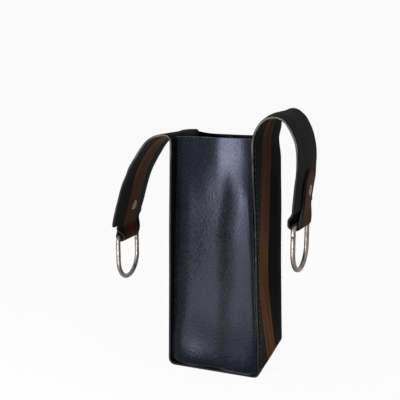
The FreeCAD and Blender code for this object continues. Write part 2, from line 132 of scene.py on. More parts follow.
def rolledLeather(name, look):
    material, tree = newMaterial(name)
    along = addNode(tree, "ShaderNodeTexCoord").outputs["UV"]
    stretched = addNode(tree, "ShaderNodeMapping", {"Vector": along, "Scale": (1.0, look["stretch"], 1.0)})
    streak = addNode(tree, "ShaderNodeTexNoise", {
        "Vector": stretched.outputs["Vector"], "Scale": 1 / (look["streak"] * mm),
        "Detail": 4.0, "Roughness": 0.6}).outputs["Fac"]
    fibre = addNode(tree, "ShaderNodeTexNoise", {
        "Vector": along, "Scale": 1 / (look["fibre"] * mm), "Detail": 2.0})
    bump = addNode(tree, "ShaderNodeBump", {
        "Height": fibre.outputs["Fac"], "Strength": look["bump"], "Distance": look["depth"] * mm})
    # the second UV value is the length up from the strap's root
    length = addNode(tree, "ShaderNodeSeparateXYZ", {"Vector": along}).outputs["Y"]
    # painted shade: the stripe darkens over the first stretch up from the strap's root and stays darker on
    # to the tip
    paintedShade = addNode(tree, "ShaderNodeMapRange", {
        "Value": length, "From Min": 0.0, "From Max": look["paintedShadeTo"] * mm,
        "To Min": 0.0, "To Max": look["paintedShade"]}, interpolation_type="SMOOTHSTEP")
    tone = addNode(tree, "ShaderNodeMath", {0: streak, 1: paintedShade.outputs["Result"]}, operation="SUBTRACT")
    colour = addNode(tree, "ShaderNodeValToRGB", {"Fac": tone.outputs[0]}, look["colours"])
    gloss = addNode(tree, "ShaderNodeMapRange", {
        "Value": streak, "To Min": look["matt"], "To Max": look["gloss"]})
    shader = addNode(tree, "ShaderNodeBsdfPrincipled", {
        "Base Color": colour.outputs["Color"], "Roughness": gloss.outputs["Result"],
        "Normal": bump.outputs["Normal"], "Specular IOR Level": look["shine"]})
    addNode(tree, "ShaderNodeOutputMaterial", {"Surface": shader.outputs["BSDF"]})
    return material


# Raw cut edge of dyed leather, fibrous grey, with painted light and shade: dark along the bag and lighter up
# on the strap tops.
# The height pair is where that painted shade ends, and the shift pair how far it moves the tone below and
# above.
cutEdgeLook = {
    "fibre": 0.8, "patch": 14.0, "fibreTone": 0.45, "bump": 0.3, "depth": 0.3, "paintedLightHeights": (200.0, 250.0),
    "paintedLightShift": (-0.45, 0.05), "rough": 0.85, "shine": 0.2, "colours": ((0.4, "#121311"), (0.95, "#4a4a46")),
}


def rawCutEdge(name, look):
    material, tree = newMaterial(name)
    place = addNode(tree, "ShaderNodeTexCoord").outputs["Object"]
    fibre = addNode(tree, "ShaderNodeTexNoise", {
        "Vector": place, "Scale": 1 / (look["fibre"] * mm), "Detail": 3.0}).outputs["Fac"]
    patch = addNode(tree, "ShaderNodeTexNoise", {
        "Vector": place, "Scale": 1 / (look["patch"] * mm), "Detail": 2.0})
    mixed = addNode(tree, "ShaderNodeMath", {
        0: fibre, 1: look["fibreTone"], 2: patch.outputs["Fac"]}, operation="MULTIPLY_ADD")
    height = addNode(tree, "ShaderNodeSeparateXYZ", {"Vector": place}).outputs["Z"]
    # painted light and shade: the edge tone is pushed dark below the first height and a little lighter above
    # the second, as light from above falls
    paintedLightShift = addNode(tree, "ShaderNodeMapRange", {
        "Value": height, "From Min": look["paintedLightHeights"][0] * mm, "From Max": look["paintedLightHeights"][1] * mm,
        "To Min": look["paintedLightShift"][0], "To Max": look["paintedLightShift"][1]})
    paintedLightTone = addNode(tree, "ShaderNodeMath", {0: mixed.outputs[0], 1: paintedLightShift.outputs["Result"]}, operation="ADD")
    colour = addNode(tree, "ShaderNodeValToRGB", {"Fac": paintedLightTone.outputs[0]}, look["colours"])
    bump = addNode(tree, "ShaderNodeBump", {
        "Height": fibre, "Strength": look["bump"], "Distance": look["depth"] * mm})
    shader = addNode(tree, "ShaderNodeBsdfPrincipled", {
        "Base Color": colour.outputs["Color"], "Normal": bump.outputs["Normal"],
        "Roughness": look["rough"], "Specular IOR Level": look["shine"]})
    addNode(tree, "ShaderNodeOutputMaterial", {"Surface": shader.outputs["BSDF"]})
    return material


# Waxed linen thread: soft, with a twist that shows as fine bands, one for each turn
threadLook = {
    "turn": 1.4, "lay": 35, "bump": 0.4, "depth": 0.2, "rough": 0.7,
    "colours": ((0.1, "#22211f"), (0.8, "#45423c")),
}


def waxedThread(name, look):
    material, tree = newMaterial(name)
    place = addNode(tree, "ShaderNodeTexCoord").outputs["Object"]
    turned = addNode(tree, "ShaderNodeMapping", {
        "Vector": place, "Rotation": (math.radians(look["lay"]), 0, 0)})
    # at scale 1 the wave's bands lie 0.314 m apart
    twist = addNode(tree, "ShaderNodeTexWave", {
        "Vector": turned.outputs["Vector"], "Scale": 0.314 / (look["turn"] * mm), "Distortion": 1.0},
        wave_type="BANDS", bands_direction="Z").outputs["Fac"]
    colour = addNode(tree, "ShaderNodeValToRGB", {"Fac": twist}, look["colours"])
    bump = addNode(tree, "ShaderNodeBump", {
        "Height": twist, "Strength": look["bump"], "Distance": look["depth"] * mm})
    shader = addNode(tree, "ShaderNodeBsdfPrincipled", {
        "Base Color": colour.outputs["Color"], "Normal": bump.outputs["Normal"], "Roughness": look["rough"]})
    addNode(tree, "ShaderNodeOutputMaterial", {"Surface": shader.outputs["BSDF"]})
    return material


# Steel rod, polished and then worn satin: soft bright bands, rub marks and duller patches
steelLook = {
    "scuff": 6.0, "worn": (0.35, 0.65), "scratch": 0.5, "drawn": 0.15, "bump": 0.03, "depth": 0.1,
    "dull": 0.52, "bright": 0.4, "colours": ((0.35, "#605c5a"), (0.6, "#7d7875")),
}
# Plated brass rivets, with the same wear in smaller marks and a warmer tone
rivetLook = dict(steelLook, scuff=2.5, scratch=0.4, dull=0.5, bright=0.32,
                 colours=((0.35, "#4c443b"), (0.6, "#776d61")))


def rubbedMetal(name, look):
    material, tree = newMaterial(name)
    place = addNode(tree, "ShaderNodeTexCoord").outputs["Object"]
    scuff = addNode(tree, "ShaderNodeTexNoise", {
        "Vector": place, "Scale": 1 / (look["scuff"] * mm), "Detail": 4.0}).outputs["Fac"]
    drawn = addNode(tree, "ShaderNodeMapping", {"Vector": place, "Scale": (1.0, 1.0, look["drawn"])})
    scratch = addNode(tree, "ShaderNodeTexNoise", {
        "Vector": drawn.outputs["Vector"], "Scale": 1 / (look["scratch"] * mm)})
    colour = addNode(tree, "ShaderNodeValToRGB", {"Fac": scuff}, look["colours"])
    gloss = addNode(tree, "ShaderNodeMapRange", {
        "Value": scuff, "From Min": look["worn"][0], "From Max": look["worn"][1],
        "To Min": look["dull"], "To Max": look["bright"]})
    bump = addNode(tree, "ShaderNodeBump", {
        "Height": scratch.outputs["Fac"], "Strength": look["bump"], "Distance": look["depth"] * mm})
    shader = addNode(tree, "ShaderNodeBsdfPrincipled", {
        "Base Color": colour.outputs["Color"], "Roughness": gloss.outputs["Result"],
        "Normal": bump.outputs["Normal"], "Metallic": 1.0})
    addNode(tree, "ShaderNodeOutputMaterial", {"Surface": shader.outputs["BSDF"]})
    return material


panelLeather = embossedLeather("embossedPanelLeather", panelGrain)
strapLeather = rolledLeather("rolledStrapLeather", strapLook)
stripeLeather = rolledLeather("brownStripeLeather", stripeLook)
cutEdge = rawCutEdge("rawLeatherEdge", cutEdgeLook)
seamThread = waxedThread("waxedLinenThread", threadLook)
steel = rubbedMetal("satinSteelRod", steelLook)
rivetBrass = rubbedMetal("platedRivetBrass", rivetLook)
print("materials made")


# The strip's line, seen from the front: x, z and heading, as in the solids. Sizes are in mm and degrees.
strip = {"halfWidth": 49.0, "half": 1.2, "mouth": 241.5, "rootHeight": 236.5, "bend": 7.0, "halfBag": 50.0}

# Each strap: "runs" are shares of its length and "turns" the bend over each.
# "near" and "far" are how far its edges leave the flat, at the lengths "at".
# "pull" is how far the side below it is drawn in at the mouth, and "slack" how much less towards the back.
strapTables = {
    "right": {
        "sign": 1, "length": 140.0, "pull": 10.0, "slack": 0.11, "dish": 7.0,
        "loopYaw": 6.0, "swell": 4.0, "crown": 3.3,
        "runs": (0.165, 0.214, 0.156, 0.237, 0.228), "turns": (-41, -105, -23, -15, 0),
        "at": (0, 13, 25, 33, 38, 43, 49, 56, 63, 71, 81, 92, 103, 113, 125, 136),
        "near": (0, 0.5, 0.5, 0.6, 0.4, 0.4, 0.4, 0.4, 0.3, -0.3, -0.4, 0.2, 0.7, 1.2, 1.3, 1.3),
        "far": (0, 0.5, -4.0, -4.9, -3.9, -1.7, -0.1, 0.7, 0.9, 1.1, 0.9, 1.0, 1.4, 1.0, 1.7, 2.4),
    },
    "left": {
        "sign": -1, "length": 140.0, "pull": 3.0, "slack": 0.0, "dish": 4.5,
        "loopYaw": 0.0, "swell": 0.0, "crown": 0.0,
        "runs": (0.079, 0.290, 0.287, 0.344), "turns": (-91.5, -50, -23.5, 0),
        "at": (0, 14, 21, 30, 40, 50, 60, 69, 79, 88, 98, 109, 117, 128, 136),
        "near": (0, 0.2, 0.4, 1.6, 4.0, 5.8, 6.5, 6.2, 6.6, 5.7, 4.9, 4.6, 4.1, 4.1, 4.5),
        "far": (0, 0.5, -0.6, -2.6, -4.2, -5.0, -5.3, -5.6, -6.6, -8.0, -9.2, -9.7, -9.8, -10.0, -10.6),
    },
}
tongue = {
    "neck": 3.5, "sway": 9.0, "fold": 4.6, "layer": 2.7, "tip": 56.0, "wide": 29.0, "slim": 18.0,
    "tipHalf": 21.0, "tipEndHalf": 0.5, "corner": 6.0, "notch": 1.2, "flare": 1.5, "flareRun": 5.0,
}
# How the sides of the bag are drawn in between the base (share 0) and the mouth (share 1)
levels = {
    "share": (0.0, 0.18, 0.36, 0.65, 0.85, 1.0),
    "pull": (0.0, 0.17, 0.35, 0.57, 0.86, 1.0), "slackOver": (0, 0.3), "slackEnds": (0.9, 1),
    "dish": (0.0, 0.8, 1.25, 0.95, 0.5, 0.0), "dishHalf": 43.0, "dishPower": 1.6,
}
# How the straps hang: each pair is where a change starts and ends, or a bulge's place and width
hang = {
    "stiff": 0.6, "crownAt": (29, 11), "swellAcross": (4, 28), "swellRises": (-1, 4), "swellFalls": (1, 10),
    "flattens": 3, "yawFrom": 5, "yawTo": 2,
}
# The mouth's back corners are pushed out, the left one more
lean = {"left": 6.0, "right": 1.6, "across": (-10, 49), "up": (110, 236), "fades": (0, 26)}


def smoothTable(x, xs, ys):
    if x <= xs[0]:
        return ys[0]
    if x >= xs[-1]:
        return ys[-1]
    i = max(k for k in range(len(xs) - 1) if xs[k] <= x)

    def slope(k):
        before, after = max(k - 1, 0), min(k + 1, len(xs) - 1)
        return (ys[after] - ys[before]) / (xs[after] - xs[before])

    step = xs[i + 1] - xs[i]
    t = (x - xs[i]) / step
    h = (2 * t ** 3 - 3 * t * t + 1, t ** 3 - 2 * t * t + t, 3 * t * t - 2 * t ** 3, t ** 3 - t * t)
    return h[0] * ys[i] + h[1] * step * slope(i) + h[2] * ys[i + 1] + h[3] * step * slope(i + 1)


def ease(x, low, high):
    t = min(1.0, max(0.0, (x - low) / (high - low)))
    return t * t * (3 - 2 * t)


def bulge(x, centre, width):
    return math.exp(-((x - centre) / width) ** 2)


def spread(low, high, step):
    count = max(1, round(abs(high - low) / step))
    return [low + (high - low) * i / count for i in range(count + 1)]


def stepAhead(station, run, turn):
    x, z, heading = station
    before, after = math.radians(heading), math.radians(heading + turn)
    if turn == 0:
        return x + run * math.cos(before), z + run * math.sin(before), heading
    radius = run / math.radians(turn)
    return (x + radius * (math.sin(after) - math.sin(before)),
            z - radius * (math.cos(after) - math.cos(before)), heading + turn)


# The tongue sways in to meet the ring, folds round it and runs back up as the tip
swayOffset = 2 * tongue["fold"] - tongue["layer"]
swayTurn = math.degrees(math.acos(1 - swayOffset / (2 * tongue["sway"])))
swayRun = tongue["sway"] * math.radians(swayTurn)
barReach = tongue["neck"] + 2 * tongue["sway"] * math.sin(math.radians(swayTurn))
foldRun = math.pi * tongue["fold"]
tongueStart = strapTables["right"]["length"]
foldStart = tongueStart + tongue["neck"] + 2 * swayRun
tipStart = foldStart + foldRun
tipEnd = tipStart + tongue["tip"]
tipRound = tipEnd - tongue["tipHalf"]

wallRun = strip["rootHeight"] - strip["bend"]
bendRadius = strip["bend"] - strip["half"]
bendRun = bendRadius * math.pi / 2
baseStart = -wallRun - bendRun


def strapMoves(side):
    table = strapTables[side]
    moves = [(share * table["length"], turn) for share, turn in zip(table["runs"], table["turns"])]
    moves += [(tongue["neck"], 0), (swayRun, -swayTurn), (swayRun, swayTurn)]
    return moves + [(foldRun, 180), (tongue["tip"], 0)]


def stationAt(side, s):
    table = strapTables[side]
    station = (strip["halfBag"] - strip["half"] - table["pull"], strip["rootHeight"], 90.0)
    left = s
    for run, turn in strapMoves(side):
        if left <= run:
            return stepAhead(station, left, turn * left / run)
        station = stepAhead(station, run, turn)
        left -= run
    return station


# How far down the strap's own axis a length along it lies, when the tongue and its tip fold back
def axisPlace(s):
    if s <= tongueStart:
        return s
    if s <= foldStart:
        return tongueStart + (s - tongueStart) * barReach / (foldStart - tongueStart)
    return tongueStart + barReach - max(0.0, s - tipStart)


# The strap hangs with a twist and a slight cup, and its loop may swell and turn about the ring
def edgeShift(side, s, y):
    table = strapTables[side]
    place = axisPlace(s)
    barPlace = tongueStart + barReach
    near, far = (smoothTable(place, table["at"], table[edge]) for edge in ("near", "far"))
    across = y / strip["halfWidth"]
    turn = across * (across ** 2 + hang["stiff"]) / (1 + hang["stiff"])
    shift = (far - near) / 2 * turn + (far + near) / 2 * across ** 2
    shift *= 1 - ease(place, tongueStart - hang["flattens"], barPlace - hang["flattens"])
    shift -= table["crown"] * (1 - across ** 2) * bulge(s, *hang["crownAt"])
    swollen = ease(s, *(tongueStart + d for d in hang["swellRises"]))
    swollen *= 1 - ease(s, *(foldStart + d for d in hang["swellFalls"]))
    shift += table["swell"] * ease(-y, *hang["swellAcross"]) * swollen
    yaw = math.tan(math.radians(table["loopYaw"]))
    return shift - y * yaw * ease(place, tongueStart - hang["yawFrom"], barPlace - hang["yawTo"])


def backLean(side, y):
    return lean[side] * ease(y, *lean["across"])


def drawnIn(side, share):
    return smoothTable(share, levels["share"], levels["pull"]) * strapTables[side]["pull"]


# A point of the strip: s is the length up from the strap's root, y is across,
# and off is out from the middle of its thickness
def stripPoint(side, s, y, off):
    table = strapTables[side]
    if s >= 0:
        x, z, heading = stationAt(side, s)
        a = math.radians(heading)
        x, z = x + off * math.sin(a), z - off * math.cos(a)
        shift = edgeShift(side, s, y)
        a = math.radians(stationAt(side, min(s, tongueStart))[2])
        x, z = x + shift * math.sin(a), z - shift * math.cos(a)
        x += backLean(side, y) * (1 - ease(s, *lean["fades"]))
    elif s >= -wallRun:
        z = strip["rootHeight"] + s
        share = (z - strip["bend"]) / wallRun
        slack = table["slack"] * (1 + y / strip["halfWidth"])
        slack *= ease(share, *levels["slackOver"]) * (1 - ease(share, *levels["slackEnds"]))
        dish = smoothTable(share, levels["share"], levels["dish"]) * table["dish"]
        inside = max(0.0, 1 - (y / levels["dishHalf"]) ** 2)
        x = strip["halfBag"] - strip["half"] - drawnIn(side, share) * (1 - slack)
        x += off - dish * inside ** levels["dishPower"]
        x += backLean(side, y) * ease(z, *lean["up"])
    elif s >= baseStart:
        a = (-wallRun - s) / bendRadius
        reach = bendRadius + off
        x = strip["halfBag"] - strip["bend"] + reach * math.cos(a)
        z = strip["bend"] - reach * math.sin(a)
    else:
        x = strip["halfBag"] - strip["bend"] - (baseStart - s)
        z = strip["half"] - off
    return Vector((table["sign"] * x, y, z))


# Half the strip's width: full to the rounded shoulder, then the tongue, its fold and its round tip
def strapHalfWidth(s):
    u = s - tongueStart
    half, corner = strip["halfWidth"], tongue["corner"]
    wide, slim, tipHalf = tongue["wide"], tongue["slim"], tongue["tipHalf"]
    notch, flare, flareRun = tongue["notch"], tongue["flare"], tongue["flareRun"]
    if u <= -corner:
        return half
    if u <= 0:
        return half - corner + math.sqrt(max(0.0, corner ** 2 - (u + corner) ** 2))
    if u <= notch:
        return half - corner + (wide + flare - half + corner) * ease(u, -notch / 2, notch)
    if s <= foldStart:
        flared = wide + flare * (1 - ease(u, notch, flareRun))
        return flared + (slim - wide) * ease(s, tongueStart + flareRun, foldStart)
    if s <= tipStart:
        return slim
    if s <= tipRound:
        return slim + (tipHalf - slim) * ease(s, tipStart, tipRound)
    return math.sqrt(max(tongue["tipEndHalf"] ** 2, tipHalf ** 2 - (s - tipRound) ** 2))


# A mesh from rings of points: walls between rings, a cap at each end, sharp where faces turn hard
sharpAngle = 42


def ringMesh(name, rings, uvRings, columnSlots, materials):
    mesh = bpy.data.meshes.new(name)
    built = bmesh.new()
    uvLayer = built.loops.layers.uv.new("along")
    rows = [[built.verts.new(p * mm) for p in ring] for ring in rings]
    count = len(rows[0])
    for r in range(len(rows) - 1):
        for c in range(count):
            n = (c + 1) % count
            corners = ((r, c), (r, n), (r + 1, n), (r + 1, c))
            face = built.faces.new([rows[i][j] for i, j in corners])
            face.material_index = columnSlots[c]
            face.smooth = True
            for loop, (i, j) in zip(face.loops, corners):
                loop[uvLayer].uv = uvRings[i][j]
    for ring, uvRing in ((rows[0][::-1], uvRings[0][::-1]), (rows[-1], uvRings[-1])):
        cap = built.faces.new(ring)
        cap.material_index = max(columnSlots)
        for loop, uv in zip(cap.loops, uvRing):
            loop[uvLayer].uv = uv
    bmesh.ops.recalc_face_normals(built, faces=built.faces)
    for edge in built.edges:
        if len(edge.link_faces) == 2 and edge.calc_face_angle() > math.radians(sharpAngle):
            edge.smooth = False
    built.to_mesh(mesh)
    built.free()
    piece = bpy.data.objects.new(name, mesh)
    bpy.context.collection.objects.link(piece)
    for material in materials:
        mesh.materials.append(material)
    return piece


# The section is a slim box with nipped corners. The straps ripple slowly, the same on both faces.
section = {
    "columns": 28, "nip": 0.3, "ripple": 0.28, "rippleAlong": 0.03, "rippleAcross": 0.035,
    "rippleRises": (0, 20), "rippleEnds": (-25, -8), "rippleFrom": {"right": 0, "left": 7},
}


def sectionRing(side, s, half, outer, inner, corner):
    flat, nip = half - corner, corner * section["nip"]
    columns = section["columns"]
    across = [flat * (2 * i / columns - 1) for i in range(columns + 1)]
    points = [(y, outer) for y in across]
    points += [(half - nip, outer - nip), (half, outer - corner)]
    points += [(half, inner + corner), (half - nip, inner + nip)]
    points += [(-y, inner) for y in across]
    points += [(nip - half, inner + nip), (-half, inner + corner)]
    points += [(-half, outer - corner), (nip - half, outer - nip)]
    rippled = 0.0
    if s >= 0:
        rippled = section["ripple"] * ease(s, *section["rippleRises"])
        rippled *= 1 - ease(s, *(tongueStart + d for d in section["rippleEnds"]))
    along = s * section["rippleAlong"] + section["rippleFrom"][side]
    ring, uvs = [], []
    for y, off in points:
        wave = noise.noise(Vector((along, y * section["rippleAcross"], 0.0)))
        ring.append(stripPoint(side, s, y, off + rippled * wave))
        uvs.append((y * mm, s * mm))
    return ring, uvs


def stripPiece(name, stops, layer):
    rings, uvs = [], []
    for side, s in stops:
        ring, uv = sectionRing(side, s, layer["half"](s), layer["outer"], layer["inner"], layer["corner"])
        rings.append(ring)
        uvs.append(uv)
    return ringMesh(name, rings, uvs, layer["faceSlots"], layer["materials"])


stripe = {"half": 16.5, "margin": 0.9, "outer": 1.38, "inner": 0.6, "corner": 0.12}


def stripeHalf(s):
    return min(stripe["half"], strapHalfWidth(s) - stripe["margin"]) if s > 0 else stripe["half"]


# The leather strip, with raw cut edges between its faces, and the brown stripe let into its outer face
layers = {
    "Strap": {
        "half": strapHalfWidth, "outer": strip["half"], "inner": -strip["half"], "corner": 0.45,
        "faceSlots": 2 * ([0] * section["columns"] + [0, 0, 1, 0, 0]), "materials": [strapLeather, cutEdge],
        "slot": "strip_leather", "bagName": "bagStrip", "tail": "",
    },
    "Stripe": {
        "half": stripeHalf, "outer": stripe["outer"], "inner": stripe["inner"], "corner": stripe["corner"],
        "faceSlots": [0] * (2 * section["columns"] + 10), "materials": [stripeLeather],
        "slot": "stripe_leather", "bagName": "bagStripe", "tail": "_stripe",
    },
}

# Where each strap is cut into pieces, and the stretches of its bends
strapCuts = {
    "right": {
        "first": -14.0, "rootBend": (-3.0, 17.0), "between": 20.0, "midBend": (24.0, 52.0), "last": 60.0},
    "left": {
        "first": -14.0, "rootBend": (-4.0, 17.0), "between": 24.0, "midBend": (34.0, 64.0), "last": 70.0},
}
# How far apart the rings of points lie along each stretch, and by what angle round the tip
ringSteps = {
    "wall": 4.0, "corner": 1.0, "root": 2.0, "curl": 1.0, "middle": 1.25, "end": 2.0, "shoulder": 0.75,
    "tongue": 1.2, "fold": 0.7, "tip": 2.0, "tipTurn": 6, "tipGap": 0.03,
}


def tipStops(low):
    shoulder, notchEnd = tongueStart - tongue["corner"], tongueStart + tongue["notch"]
    stops = spread(low, shoulder, ringSteps["end"])
    stops += spread(shoulder, tongueStart, ringSteps["shoulder"])[1:]
    stops += spread(tongueStart, notchEnd, tongue["notch"] / 3)[1:]
    stops += spread(notchEnd, foldStart, ringSteps["tongue"])[1:]
    stops += spread(foldStart, tipStart, ringSteps["fold"])[1:]
    stops += spread(tipStart, tipRound, ringSteps["tip"])[1:]
    for angle in range(ringSteps["tipTurn"], 90, ringSteps["tipTurn"]):
        stops.append(tipRound + tongue["tipHalf"] * math.sin(math.radians(angle)))
    return stops + [tipEnd - ringSteps["tipGap"]]


def bagStops():
    stops = []
    for side in ("left", "right"):
        middle = baseStart - strip["halfBag"] + strip["bend"]
        wall = spread(strapCuts[side]["first"], -wallRun, ringSteps["wall"])
        corner = spread(-wallRun, baseStart, ringSteps["corner"])[1:]
        base = spread(baseStart, middle, ringSteps["wall"])[1:]
        run = [(side, s) for s in wall + corner + base]
        stops += run if side == "left" else run[::-1][1:]
    return stops


for layer in layers.values():
    piece = stripPiece(layer["bagName"], bagStops(), layer)
    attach(piece, "bag")
    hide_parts(*(node + layer["tail"] for node in ("base", "left_gusset", "right_gusset")))

for side, cuts in strapCuts.items():
    lower, end = side + "_strap_lower_stretch", side + "_strap_end_stretch"
    root = spread(cuts["first"], 0, ringSteps["root"])
    root += spread(0, cuts["between"], ringSteps["curl"])[1:]
    middle = spread(cuts["between"], cuts["last"], ringSteps["middle"])
    runs = {"Root": root, "Middle": middle, "End": tipStops(cuts["last"])}
    for layerName, layer in layers.items():
        for part, stops in runs.items():
            piece = stripPiece(side + layerName + part, [(side, s) for s in stops], layer)
            if part == "End":
                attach(piece, end)
                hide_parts(side + "_strap_end" + layer["tail"])
                continue
            bend = cuts["rootBend"] if part == "Root" else cuts["midBend"]
            start, stop = (stripPoint(side, s, 0, 0) * mm for s in bend)
            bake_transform(piece)
            if part == "Root":
                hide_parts(side + "_strap_lower" + layer["tail"])
print("strip and straps made")


# Front and back panels: soft sheets set between the strip's edges, sunk along the seams and the foot
panel = {
    "thickness": 2.0, "columns": 64, "crowding": 0.2, "rowStep": 2.4, "footStep": 0.75, "low": 2.5,
    "gap": 0.15, "foot": 3.0, "knee": 5.0, "ripple": 0.3, "rippleAcross": 0.045, "rippleUp": 0.03,
    "rippleFrom": 3.0, "rippleEdge": 8, "droopRun": 45, "droopPower": 4,
}
# The front has a ridge near the mouth, and lower down a plateau, a fold and a second ridge.
# Places are x from the middle or z up, and pairs are where a change starts and ends.
frontShape = {
    "mouthShare": (172, 226), "ridge": 2.2, "ridgeLeft": 4, "leftFall": 0.16, "ridgeRight": 30,
    "rightFall": 0.13, "lowShare": (12, 70), "climb": 20, "lowClimb": 10, "dip": 4.2, "lowDip": 2.6,
    "foldHeights": (0, 60, 120, 160, 196, 241), "foldPlaces": (4, 4, 6, 8, 10, 13), "foldSway": 2.5,
    "foldWave": 0.03, "foldFrom": 5.0, "stand": 1.0, "flank": 3.0, "flankRun": (-3, 22),
    "slope": 0.012, "highSlope": 0.075, "slopeRises": (80, 150), "slopeFrom": -22, "slopePast": 8,
    "rightEase": 0.4, "rightEaseRun": (30, 44), "seamWidth": 2.2,
    "toe": 3.6, "toeFlat": 0.45, "toeAt": (-26, 22), "toeHeight": (9, 20), "toeEdge": (0, 12),
    "tuckShort": 0.5, "tuckWidth": 2.4, "sink": 1.6, "mouthSink": 3.0, "droop": -0.6,
}
backShape = {
    "stand": 1.6, "leftDip": 3.6, "leftWidth": 14, "rightDip": 3.2, "rightWidth": 12,
    "ridge": 0.8, "ridgeAt": (-14, 10), "ridgeRises": (40, 90),
    "fold": 0.6, "foldAt": (12, 9), "foldRises": (30, 90), "tuckWidth": 5, "droop": 3.0,
}


# How far a side's inner face is from the middle of the bag
def wallInside(side, z, y):
    if z < strip["bend"]:
        radius = strip["bend"] - 2 * strip["half"]
        rise = math.sqrt(max(0.0, radius ** 2 - (strip["bend"] - z) ** 2))
        return strip["halfBag"] - strip["bend"] + rise
    share = min(1.0, (z - strip["bend"]) / wallRun)
    leaning = backLean(side, y) * ease(z, *lean["up"])
    return strip["halfBag"] - 2 * strip["half"] - drawnIn(side, share) + leaning


# Nothing before u = 0, then a slope, with a soft bend between
def knee(u, slope):
    return slope * (u + math.sqrt(u * u + panel["knee"] ** 2)) / 2


# How far a panel stands out from the strip's edges
def frontDepth(x, z, fromLeft, fromRight):
    front = frontShape
    mouth = front["ridge"] - knee(front["ridgeLeft"] - x, front["leftFall"])
    mouth -= knee(x - front["ridgeRight"], front["rightFall"])
    low = 1 - ease(z, *front["lowShare"])
    climb = min(1.0, fromLeft / (front["climb"] - front["lowClimb"] * low))
    dip = front["dip"] - front["lowDip"] * low
    fold = smoothTable(z, front["foldHeights"], front["foldPlaces"])
    fold += front["foldSway"] * noise.noise(Vector((0.0, z * front["foldWave"], front["foldFrom"])))
    body = front["stand"] - dip * (1 - climb) ** 2
    body += front["flank"] * ease(x, *(fold + d for d in front["flankRun"]))
    slope = front["slope"] + front["highSlope"] * ease(z, *front["slopeRises"])
    body += slope * (min(x, fold + front["slopePast"]) - front["slopeFrom"])
    body -= front["rightEase"] * ease(x, *front["rightEaseRun"]) + bulge(fromRight, 0, front["seamWidth"])
    toe = front["toeFlat"] + (1 - front["toeFlat"]) * bulge(x, *front["toeAt"])
    toe *= front["toe"] * bulge(z, *front["toeHeight"]) * ease(min(fromLeft, fromRight), *front["toeEdge"])
    tuck = (panel["foot"] - front["tuckShort"]) * bulge(z, panel["low"], front["tuckWidth"])
    sink = front["sink"] + front["mouthSink"] * z / strip["mouth"]
    share = ease(z, *front["mouthShare"])
    return mouth * share + body * (1 - share) + toe - tuck - sink


def backDepth(x, z, fromLeft, fromRight):
    back = backShape
    body = back["stand"] - back["leftDip"] * bulge(fromLeft, 0, back["leftWidth"])
    body -= back["rightDip"] * bulge(fromRight, 0, back["rightWidth"])
    body += back["ridge"] * bulge(x, *back["ridgeAt"]) * ease(z, *back["ridgeRises"])
    body -= back["fold"] * bulge(x, *back["foldAt"]) * ease(z, *back["foldRises"])
    return body - panel["foot"] * bulge(z, panel["low"], back["tuckWidth"])


def panelPiece(name, facing, depth, droop):
    top, edge = strip["mouth"], facing * strip["halfWidth"]
    heights = spread(panel["low"], strip["bend"], panel["footStep"])
    heights += spread(strip["bend"], top, panel["rowStep"])[1:]
    rings, uvs = [], []
    for z in heights:
        xLeft = -wallInside("left", z, edge) + panel["gap"]
        xRight = wallInside("right", z, edge) - panel["gap"]
        outside, inside = [], []
        for i in range(panel["columns"] + 1):
            # columns crowd towards the seams
            c = math.cos(math.pi * i / panel["columns"])
            t = 0.5 - 0.5 * c * (1 - panel["crowding"] + panel["crowding"] * abs(c))
            x = xLeft + (xRight - xLeft) * t
            ripplePlace = (x * panel["rippleAcross"], z * panel["rippleUp"], facing * panel["rippleFrom"])
            wave = noise.noise(Vector(ripplePlace))
            out = strip["halfWidth"] + depth(x, z, x - xLeft, xRight - x)
            out += panel["ripple"] * wave * ease(min(x - xLeft, xRight - x), 0, panel["rippleEdge"])
            sag = droop * ease(z, top - panel["droopRun"], top) * (1 - (2 * t - 1) ** panel["droopPower"])
            outside.append(Vector((x, facing * out, z - sag)))
            inside.append(Vector((x, facing * (out - panel["thickness"]), z - sag)))
        rings.append(outside + inside[::-1])
        uvs.append([(p.x * mm, p.z * mm) for p in rings[-1]])
    return ringMesh(name, rings, uvs, [0] * len(rings[0]), [panelLeather])


for name, facing, depth, shape, node in (
        ("frontPanel", -1, frontDepth, frontShape, "front_panel"),
        ("backPanel", 1, backDepth, backShape, "back_panel")):
    sheet = panelPiece(name, facing, depth, shape["droop"])
    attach(sheet, "bag")
    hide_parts(node)
print("panels made")


# Stitches along the four seams, by Geometry Nodes: a thread bead at each step along a line on the strip
stitches = {
    "pitch": 6.0, "length": 3.4, "thread": 0.85, "inset": 4.5, "lift": 0.1, "fromBase": 2.0,
    "fromRoot": 6.0, "lineStep": 4.0, "beadSides": 8, "beadRings": 6,
}


